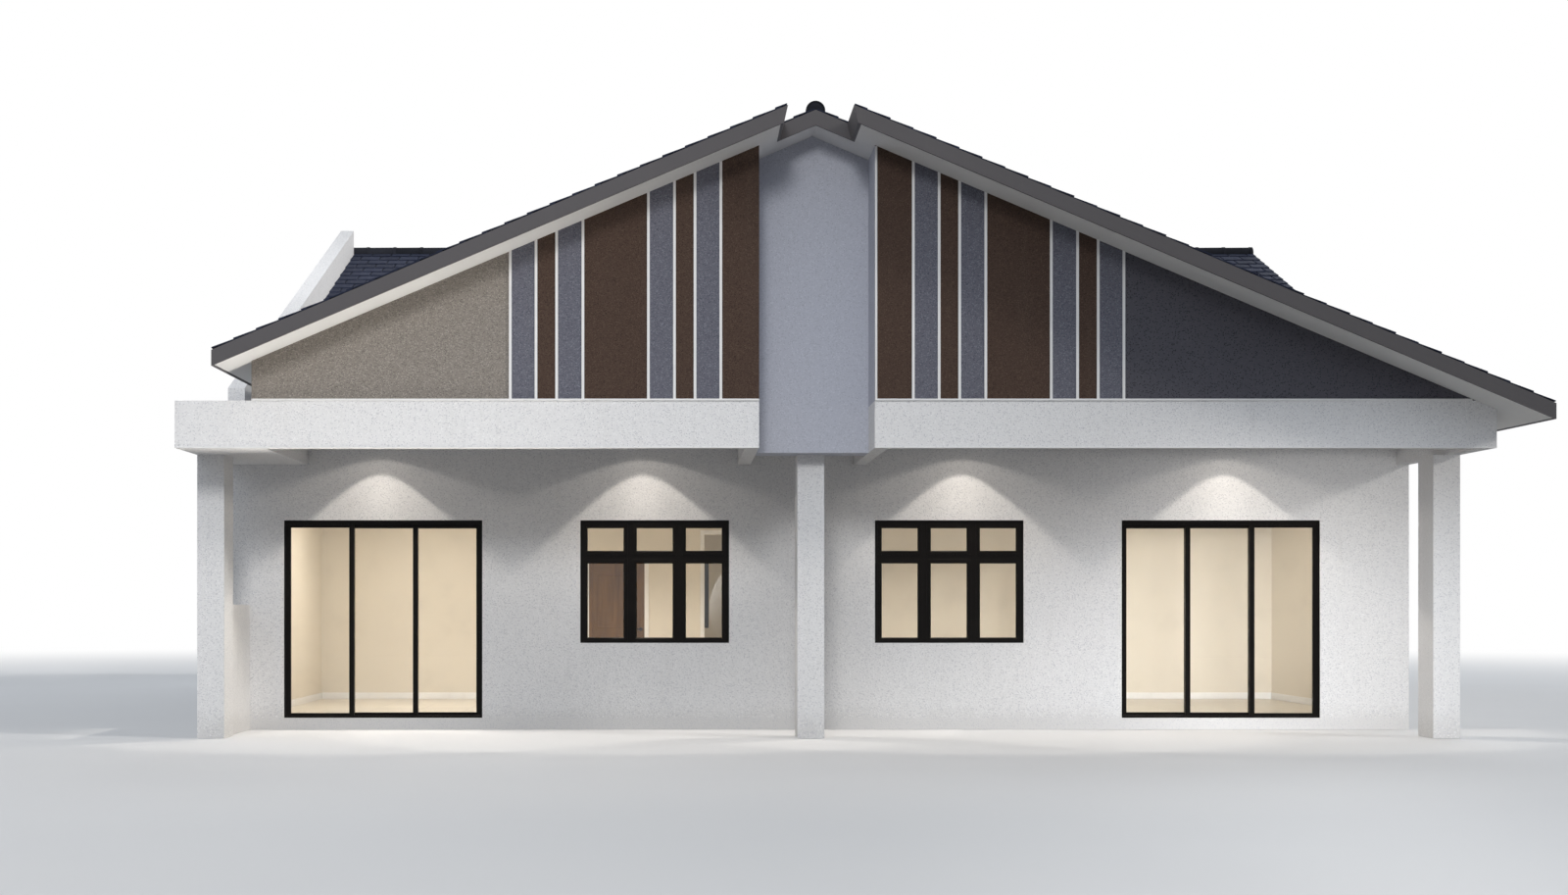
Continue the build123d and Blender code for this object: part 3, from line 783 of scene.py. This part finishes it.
def lay_caps(name, start, along, side, length, node):
    """Overlapping ridge caps from start, each with a raised collar over the one before."""
    form = bmesh.new()
    tone = form.verts.layers.float.new("tone")
    chance = random.Random(name)
    count = max(1, round(length / cap_length))
    pitch = length / count
    for number in range(count):
        near = start + along * pitch * number
        far_run = pitch if number == count - 1 else pitch + cap_overlap
        shade = chance.random()
        rings = []
        for run, radius in (
            (0.0, cap_radius - 0.002),
            (0.004, cap_radius),
            (cap_collar, cap_radius),
            (cap_collar + 0.006, cap_body + 0.001),
            (far_run, cap_body - 0.002),
        ):
            sweep = (-cap_reach, math.pi + cap_reach, cap_sweep)
            outside = arc(near + along * run, side, radius, *sweep)
            inside = arc(near + along * run, side, radius - cap_wall, *sweep)
            rings.append(outside + inside[::-1])
        toned_skin(form, rings, tone, shade)
    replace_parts(add_piece(name, form, "ridge_tile", 35), node)
    bedding = bmesh.new()
    inner = cap_body - cap_wall
    rings = []
    for run in (bedding_inset, length - bedding_inset):
        end = start + along * run
        feet = [end + side * way * (inner + bedding_inset) - up * bedding_foot for way in (-1, 1)]
        rings.append(arc(end, side, inner, 0, math.pi, 8) + feet)
    skin(bedding, rings)
    add_piece(name + "_bedding", bedding, "ridge_tile", 35, mortar)


def add_end_disc(name, centre, along, side):
    """Round end plate of a ridge, with a raised rim and a low dome."""
    form = bmesh.new()
    dome = [(0.001, -0.006), (0.05, -0.005), (0.080, -0.002), (0.088, 0.0), (0.090, -0.007)]
    rim = [(cap_radius - 0.003, -0.008), (cap_radius, -0.005), (cap_radius, 0.012), (0.001, 0.012)]
    spin(form, dome + rim, centre, along, side, 48)
    add_piece(name, form, "ridge_tile", 40)


def lay_valley(side, sign, eave):
    """Folded metal gutter along one valley, with its edges turned up under the tiles."""
    form = bmesh.new()
    flat, upstand, sheet = 0.10, 0.012, 0.0012
    top_gap, eave_gap = 0.02, 0.03
    rings = []
    for x in (top_gap, eave - eave_gap):
        corner = Vector((sign * x, valley_y(x), gable_top(x) + 0.002))
        front = corner + south * flat
        back = corner + Vector((0, flat, flat * main_fall))
        under = [front + up * upstand, front, corner, back, back + up * upstand]
        rings.append([point + up * sheet for point in under] + under[::-1])
    skin(form, rings)
    add_piece(f"valley_gutter_{side}", form, "edge_board", finish=flashing)


disc_room, disc_inset, left_room = 0.004, 0.008, 0.012
strip_board = 0.042  # the caps start behind the board across the strip
gable_caps_front = strip_front + strip_board + disc_room
gable_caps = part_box("gable_ridge_cap")[1].y - gable_caps_front
caps_right = end_line - disc_room
main_caps = caps_right - party_face - left_room
gable_start = Vector((0, gable_caps_front, gable_apex))
lay_caps("gable_ridge_caps", gable_start, north, east, gable_caps, "gable_ridge_cap")
add_end_disc("gable_ridge_end", Vector((0, gable_caps_front - disc_room, gable_apex)), north, east)
main_start = Vector((caps_right, 0, main_apex))
lay_caps("main_ridge_caps", main_start, -east, north, main_caps, "main_ridge_cap")
add_end_disc("main_ridge_end", Vector((right_end - disc_inset, 0, main_apex)), -east, north)
add_end_disc("main_ridge_end_left", Vector((party_face + disc_inset, 0, main_apex)), east, north)
lay_valley("left", -1, left_eave)
lay_valley("right", 1, right_end)

# Beads and rings

strip_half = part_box("strip_wall")[1].x
bead_out, bead_high, bead_wide, bead_stop = 0.016, 0.020, 0.025, 0.04
sunk = 0.001  # how far a fitting reaches into what carries it
lamp_low, lamp_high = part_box("downlights")
lamp_y = (lamp_low.y + lamp_high.y) / 2
lamp_radius = (lamp_high.y - lamp_low.y) / 2
lamp_places = (lamp_low.x + lamp_radius, -1.90, 1.90, lamp_high.x - lamp_radius)


def add_wall_beads():
    """White beads along the tops of the front beams and up the right wing's inner corner."""
    form = bmesh.new()
    face, back = gable_face - bead_out, gable_face + sunk
    top = beam_high + bead_high
    left_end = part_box("gable_wall_left")[0].x
    right_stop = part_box("gable_wall_right")[1].x - bead_stop
    for run in ((left_end, -strip_half), (strip_half, right_stop)):
        add_bar(form, run, (face, back), (beam_high - sunk, top), 0.004)
    corner = (strip_half, strip_half + bead_wide)
    add_bar(form, corner, (face + sunk, back), (top - 0.002, gable_top(corner[1]) - deck_height), 0.004)
    add_piece("wall_beads", form, "white_trim", 30)


def add_drip_beads():
    """Thin drip beads along the lower edges of the front beams."""
    form = bmesh.new()
    for side in ("left", "right"):
        low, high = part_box(f"front_beam_{side}")
        across, heights = (low.y - 0.004, low.y + 0.01), (low.z - 0.0005, low.z + 0.012)
        add_bar(form, (low.x, high.x), across, heights, 0.0015)
    add_piece("beam_drip_beads", form, "white_trim", 30)


def add_lamp_rings():
    """Pressed white ring round each downlight, flush to the verandah ceiling."""
    form = bmesh.new()
    section = [(-0.008, -0.002), (-0.008, -0.013), (-0.004, -0.016), (0.010, -0.006)]
    section += [(0.012, -0.002), (0.012, 0.0), (-0.002, 0.0)]
    for x in lamp_places:
        centre = Vector((x, lamp_y, lamp_high.z))
        rings = []
        for step in range(40):
            angle = math.tau * step / 40
            turn = east * math.cos(angle) + north * math.sin(angle)
            rings.append([centre + turn * (lamp_radius + out) + up * level for out, level in section])
        skin(form, rings + rings[:1], ends=False)
    merge_doubles(form, 0.0001)
    add_piece("downlight_rings", form, "white_trim", 40)


# Windows: sash rings and glazing beads round the six lights of each

window_wide = 1.778
window_low, window_high = (corner.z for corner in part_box("front_window_frames"))
window_side, window_top, window_bottom = 0.076, 0.083, 0.053
mullion, transom, upper_light = 0.138, 0.130, 0.292
glass_deep = 0.036
sash_ring_wide, glazing_bead = 0.040, 0.011
end_window_places = (1.5, 5.2)


def window_lights():
    """Left, right, bottom and top of each light, from the window's middle, in its own plane."""
    light_wide = (window_wide - 2 * window_side - 2 * mullion) / 3
    upper_low = window_high - window_top - upper_light
    rows = ((window_low + window_bottom, upper_low - transom), (upper_low, window_high - window_top))
    for column in range(3):
        left = -window_wide / 2 + window_side + column * (light_wide + mullion)
        for low, high in rows:
            yield left, left + light_wide, low, high


def frame_ring(form, plane, light, section, width=0.0):
    """A mitred ring round a light: section points are (in from the ring's edge, out from the wall)."""
    origin, across, outward = plane
    left, right, low, high = light
    corners = ((left, low, 1, 1), (right, low, -1, 1), (right, high, -1, -1), (left, high, 1, -1))
    rings = []
    for x, z, turn_x, turn_z in corners:
        ring = []
        for inset, proud in section:
            inward = inset - width
            place = origin + across * (x + turn_x * inward) + outward * proud
            ring.append(Vector((place.x, place.y, z + turn_z * inward)))
        rings.append(ring)
    skin(form, rings + rings[:1], ends=False)


def merge_doubles(form, reach=0.00005):
    """Points that lie together become one."""
    bmesh.ops.remove_doubles(form, verts=form.verts[:], dist=reach)


def window_planes():
    """Middle of each window on its frame's outer face, its across and its outward direction."""
    front_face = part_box("front_window_frames")[0].y
    rear_low, rear_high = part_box("rear_window_frames")
    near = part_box("front_window_frames")[1].x - window_wide / 2
    for sign in (-1, 1):
        yield Vector((sign * near, front_face, 0)), east, south
    outer = -rear_low.x - window_wide / 2
    for x in (-outer, -near, near, outer):
        yield Vector((x, rear_high.y, 0)), -east, north
    for y in end_window_places:
        yield Vector((rear_high.x, y, 0)), north, east


def add_window_fittings():
    """Casement sash rings and glazing beads of every window, each kind one piece."""
    ring_form = bmesh.new()
    bead_form = bmesh.new()
    sash_section = (
        (0.0, -0.001),
        (0.0, 0.004),
        (0.002, 0.006),
        (sash_ring_wide - 0.003, 0.006),
        (sash_ring_wide, 0.003),
        (sash_ring_wide, -0.001),
    )
    bead_section = (
        (0.0, 0.001 - glass_deep),
        (0.0, -0.010),
        (0.003, -0.012),
        (glazing_bead, 0.008 - glass_deep),
        (glazing_bead, 0.001 - glass_deep),
    )
    for plane in window_planes():
        for light in window_lights():
            frame_ring(ring_form, plane, light, sash_section, sash_ring_wide)
            frame_ring(bead_form, plane, light, bead_section)
    merge_doubles(ring_form)
    merge_doubles(bead_form)
    add_piece("window_sash_rings", ring_form, "black_frame", 30)
    add_piece("window_glazing_beads", bead_form, "black_frame", 30)


# Sliding doors: guide fins over the moving sashes, and a pull on the leading stile of each

stile = 0.058
fin_thick, fin_drop, fin_end, fin_gap = 0.002, 0.030, 0.021, 0.005
pull_height, pull_half_wide, pull_half_high = 1.09, 0.012, 0.075
sash_sides = [(side, place) for side in ("left", "right") for place in ("middle", "inner")]


def add_guide_fins():
    """Brush-seal fins that hang from the door heads in front of the moving sashes."""
    form = bmesh.new()
    for side, place in sash_sides:
        low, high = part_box(f"door_frame_{side}")
        sash_low, sash_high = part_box(f"sash_{side}_{place}")
        near = sash_low.y - fin_gap - fin_thick
        head = sash_high.z + 0.005
        run = (low.x + fin_end, high.x - fin_end)
        add_bar(form, run, (near, near + fin_thick), (head - fin_drop, head + 0.0005), 0.0)
    add_piece("door_guide_fins", form, "black_frame")


def pull_outline(centre, inset, proud):
    """Outline of a rounded upright plate in front of a sash."""
    radius = pull_half_wide - inset
    straight = pull_half_high - pull_half_wide
    points = []
    for step in range(24):
        angle = math.tau * (step + 0.5) / 24
        rise = math.copysign(straight, math.sin(angle)) + radius * math.sin(angle)
        points.append(centre + east * radius * math.cos(angle) + south * proud + up * rise)
    return points


def add_pulls():
    """Flush finger pulls: a rim and a shallow dish on the outer face of each moving sash."""
    section = ((0.0, 0.0), (0.0, 0.0022), (0.0008, 0.003), (0.0035, 0.003), (0.0060, 0.0008))
    for side, place in sash_sides:
        low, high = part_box(f"sash_{side}_{place}")
        lead = high.x - stile / 2 if side == "left" else low.x + stile / 2
        centre = Vector((lead, low.y, pull_height))
        form = bmesh.new()
        skin(form, [pull_outline(centre, inset, proud) for inset, proud in section])
        add_piece(f"sash_pull_{side}_{place}", form, "black_frame", 40, body=f"{side}_{place}_sash")


# Front rooms: skirtings, surrounds of the passages and the timber door on the left cross wall

skirting_high, skirting_thick = 0.09, 0.012
surround_wide, surround_thick = 0.06, 0.014
passage_wide, passage_high = 1.0, 2.5
door_middle, door_half, door_high = -2.36, 0.40, 1.96
panel_inset, lever_inset, lever_height = 0.12, 0.055, 1.0
room_floor = floor_top + 0.0005


def room_sides():
    """For each front room: its sign from the party line, and its cross wall's face and both ends."""
    for side, sign in (("left", -1), ("right", 1)):
        low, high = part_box(f"cross_wall_{side}")
        outer, inner = (low.x, high.x) if sign < 0 else (high.x, low.x)
        yield side, sign, low.y, outer, inner


def add_skirtings():
    """White skirtings round each front room, open at the passage."""
    form = bmesh.new()
    heights = (room_floor, room_floor + skirting_high)
    for side, sign, face, outer, inner in room_sides():
        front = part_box(f"front_pier_{side}")[1].y
        passage = inner + sign * (passage_wide + surround_wide)
        runs = [(outer, passage)]
        if sign < 0:
            half = door_half + surround_wide
            runs = [(outer, door_middle - half), (door_middle + half, passage)]
        for run in runs:
            add_bar(form, run, (face - skirting_thick, face + sunk), heights)
        for wall_x, inward in ((outer, -sign), (inner, sign)):
            across = (wall_x - inward * sunk, wall_x + inward * skirting_thick)
            add_bar(form, across, (front, face - skirting_thick), heights)
    add_piece("room_skirtings", form, "white_trim", 30)


def add_surrounds():
    """Flat white architraves round the room door and at the passages: legs and heads."""
    form = bmesh.new()
    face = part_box("cross_wall_left")[0].y
    faces = (face - surround_thick, face + sunk)
    near, far = door_middle - door_half, door_middle + door_half
    top = floor_top + door_high + 0.003
    add_bar(form, (near - surround_wide, near), faces, (room_floor, top))
    add_bar(form, (far, far + surround_wide), faces, (room_floor, top))
    add_bar(form, (near - surround_wide, far + surround_wide), faces, (top, top + surround_wide))
    for _, sign, _, _, inner in room_sides():
        leg = (inner + sign * passage_wide, inner + sign * (passage_wide + surround_wide))
        add_bar(form, leg, faces, (room_floor, passage_high))
        add_bar(form, (inner + sign * 0.003, leg[1]), faces, (passage_high, passage_high + surround_wide))
    add_piece("room_architraves", form, "white_trim", 30)


def add_room_door():
    """The plain timber door seen through the left window, with its panels and its lever."""
    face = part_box("cross_wall_left")[0].y
    front = face - 0.006
    near, far = door_middle - door_half, door_middle + door_half
    leaf = bmesh.new()
    heights = (floor_top + 0.006, floor_top + door_high)
    add_bar(leaf, (near + 0.003, far - 0.003), (front, face + sunk), heights, 0.002)
    moulding = ((0, -0.001), (0, 0.004), (0.006, 0.007), (0.014, 0.004), (0.022, 0.0015), (0.022, -0.001))
    for panel_low, panel_high in ((0.16, 0.86), (1.02, 1.78)):
        panel = (near + panel_inset, far - panel_inset, floor_top + panel_low, floor_top + panel_high)
        frame_ring(leaf, (Vector((0, front, 0)), east, south), panel, moulding)
    merge_doubles(leaf)
    add_piece("room_door", leaf, "edge_board", 30, timber)
    lever = bmesh.new()
    spindle = Vector((far - lever_inset, front, floor_top + lever_height))
    rose = ((0.026, 0.0), (0.026, 0.006), (0.023, 0.008), (0.009, 0.009), (0.008, 0.045))
    spin(lever, rose, spindle, south, east)
    handle = ((0.006, 0.0), (0.009, 0.003), (0.0085, 0.06), (0.0075, 0.118), (0.004, 0.122))
    spin(lever, handle, spindle + south * 0.045 + east * 0.008, -east, south, 20)
    add_piece("room_door_lever", lever, "black_frame", 40)


add_wall_beads()
add_drip_beads()
add_lamp_rings()
add_window_fittings()
add_guide_fins()
add_pulls()
add_skirtings()
add_surrounds()
add_room_door()

# Studio: floor, light from all round, key and fill light, lamps and camera


def beyond_house(tree, x, y):
    """Metres outside a rectangle round the house."""
    beyond = []
    for place, middle, half in ((x, 0.5, 7.1), (y, -1.3, 9.2)):
        away = calc(tree, "ABSOLUTE", calc(tree, "SUBTRACT", place, middle))
        beyond.append(calc(tree, "SUBTRACT", away, half))
    return calc(tree, "MAXIMUM", *beyond)


def make_stage():
    """Plain pale floor, darker for bounced light, that fades to white far off where it is seen."""
    made, tree, shader = new_material("Studio floor", 0.9)
    pale = blend(tree, noise(tree, 0.5), (0.68, 0.68, 0.68), (0.655, 0.655, 0.66))
    x, y = split(tree, place_of(tree))[:2]
    beyond = beyond_house(tree, x, y)
    apron = blend(tree, span_map(tree, beyond, 3.5, 6.0), (0.42, 0.42, 0.42), (0.14, 0.14, 0.145))
    apron = blend(tree, span_map(tree, beyond, 0.0, 0.5), (0.04, 0.04, 0.04), apron)
    bounced = add_node(tree, "LightPath").outputs["Is Diffuse Ray"]
    paint(shader, blend(tree, bounced, pale, apron))
    away = calc(tree, "SQRT", calc(tree, "ADD", times(tree, x, x), times(tree, y, y)))
    share = times(tree, span_map(tree, away, 15.0, 42.0), seen_directly(tree))
    mix_out(tree, share, shader, add_node(tree, "Emission", {"Color": (1, 1, 1), "Strength": 1.0}))
    form = bmesh.new()
    bmesh.ops.create_circle(form, cap_ends=True, radius=220.0, segments=96)
    mesh = bpy.data.meshes.new("studio_floor")
    form.to_mesh(mesh)
    form.free()
    mesh.materials.append(made)
    floor = bpy.data.objects.new("studio_floor", mesh)
    floor.location.z = -0.002
    scene.collection.objects.link(floor)


def light_all_round(level):
    """Even pale light from all round, white where it is seen."""
    world = bpy.data.worlds.new("Studio light")
    world.use_nodes = True
    scene.world = world
    tree = world.node_tree
    light = tree.nodes["Background"]
    wire(light.inputs["Color"], (0.84, 0.90, 1.0))
    wire(light.inputs["Strength"], level)
    white = add_node(tree, "Background", {"Color": (1, 1, 1), "Strength": 1.0})
    mix_out(tree, seen_directly(tree), light, white, "World Output")


def add_light(name, kind, location, aim, energy, colour=(1.0, 1.0, 1.0), **settings):
    """A lamp at a place, turned towards a point; angles are in degrees."""
    lamp = bpy.data.lights.new(name, kind)
    lamp.energy = energy
    lamp.color = colour
    for setting, value in settings.items():
        in_degrees = setting in ("angle", "spread", "spot_size")
        setattr(lamp, setting, math.radians(value) if in_degrees else value)
    holder = bpy.data.objects.new(name, lamp)
    holder.location = location
    holder.rotation_euler = (Vector(aim) - Vector(location)).to_track_quat("-Z", "Y").to_euler()
    scene.collection.objects.link(holder)
    return holder


def even_out(lamp, even=1.1, end=2.6, rest=0.2):
    """A reflector's beam: even over the first metre or so, then weaker towards the floor."""
    lamp.use_nodes = True
    tree = lamp.node_tree
    way = add_node(tree, "LightPath").outputs["Ray Length"]
    falloff = add_node(tree, "LightFalloff", {"Strength": span_map(tree, way, even, end, 1.0, rest)})
    wire(tree.nodes["Emission"].inputs["Strength"], falloff.outputs["Constant"])


def light_outside():
    """Soft key and fill light, spots on the bright parts, and light from below on the left soffit."""
    shade_blue, pale_blue = (0.78, 0.88, 1.0), (0.90, 0.95, 1.0)
    for name, place, energy, colour, angle in (
        ("key", (30, -11.5, 12.6), 1.35, (1.0, 0.97, 0.92), 9),
        ("front_fill", (-6, -28, 22), 0.56, shade_blue, 60),
        ("back_fill", (14, 30, 16), 1.3, pale_blue, 60),
        ("left_fill", (-30, 6, 14), 0.8, pale_blue, 60),
    ):
        add_light(name, "SUN", place, (0, 0, 0), energy, colour, angle=angle)
    for name, place, aim, energy, spread, softness in (
        ("gable_spot", (-3.8, -36, 14), (-5.6, -10, 3.5), 11800, 46, 3.0),
        ("wall_spot", (1.5, -26, 1.6), (5.9, -7.75, 0.2), 8400, 22, 1.2),
        ("centre_spot", (0.4, -27, 1.4), (3.0, -7.75, -0.4), 4000, 22, 1.2),
        ("parapet_spot", (6, -30, 16), (-6.75, -2.7, 6.4), 17000, 9, 1.0),
    ):
        spot = {"spot_size": spread, "spot_blend": 1.0, "shadow_soft_size": softness}
        add_light(name, "SPOT", place, aim, energy, **spot).visible_glossy = False
    x, y = -4.6, verge_front + 0.12
    strip = {"shape": "RECTANGLE", "size": 4.6, "size_y": 0.3, "spread": 50}
    add_light("soffit_fill", "AREA", (x, y, 0.15), (x, y + 0.001, 4.0), 22, (1.0, 0.96, 0.9), **strip)


def light_lamps():
    """The downlights' beams, and soft light in the rooms."""
    warm = (1.0, 0.93, 0.84)
    beams = (("wash", 99, 36, 0.16, True), ("pool", 80, 12, 1.0, False), ("spill", 147, 11, 0.15, True))
    for x in lamp_places:
        for beam, spread, energy, soft_edge, evened in beams:
            under = (x, lamp_y, lamp_low.z - 0.02)
            spot = {"spot_size": spread, "spot_blend": soft_edge, "shadow_soft_size": 0.03}
            lamp = add_light(f"{beam}_{x:.2f}", "SPOT", under, (x, lamp_y, 0), energy, warm, **spot)
            if evened:
                even_out(lamp.data)
    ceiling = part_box("room_ceilings")[0].z - 0.03
    front_y, back_y, back_energy = -5.2, 2.5, 60
    for x, front_energy, spread in ((-5.0, 62, 180), (-1.9, 50, 130), (1.9, 42, 130), (5.0, 36, 180)):
        for y, energy in ((front_y, front_energy), (back_y, back_energy)):
            panel = {"size": 1.2, "spread": spread}
            add_light(f"room_{x}_{y}", "AREA", (x, y, ceiling), (x, y, 0), energy, warm, **panel)


def place_camera():
    """The photograph's view: level, square to the front, shifted up and to the right."""
    lens = bpy.data.cameras.new("camera")
    lens.sensor_width = 36.0
    lens.lens = 45.45
    lens.shift_x = 0.068
    lens.shift_y = 0.1003
    lens.clip_end = 500.0
    camera = bpy.data.objects.new("camera", lens)
    camera.location = (-1.489, -31.40, 1.49)
    camera.rotation_euler = (math.radians(90), 0, 0)
    scene.collection.objects.link(camera)
    scene.camera = camera


make_stage()
light_all_round(0.22)
light_outside()
light_lamps()
place_camera()
scene.view_settings.view_transform = "Standard"
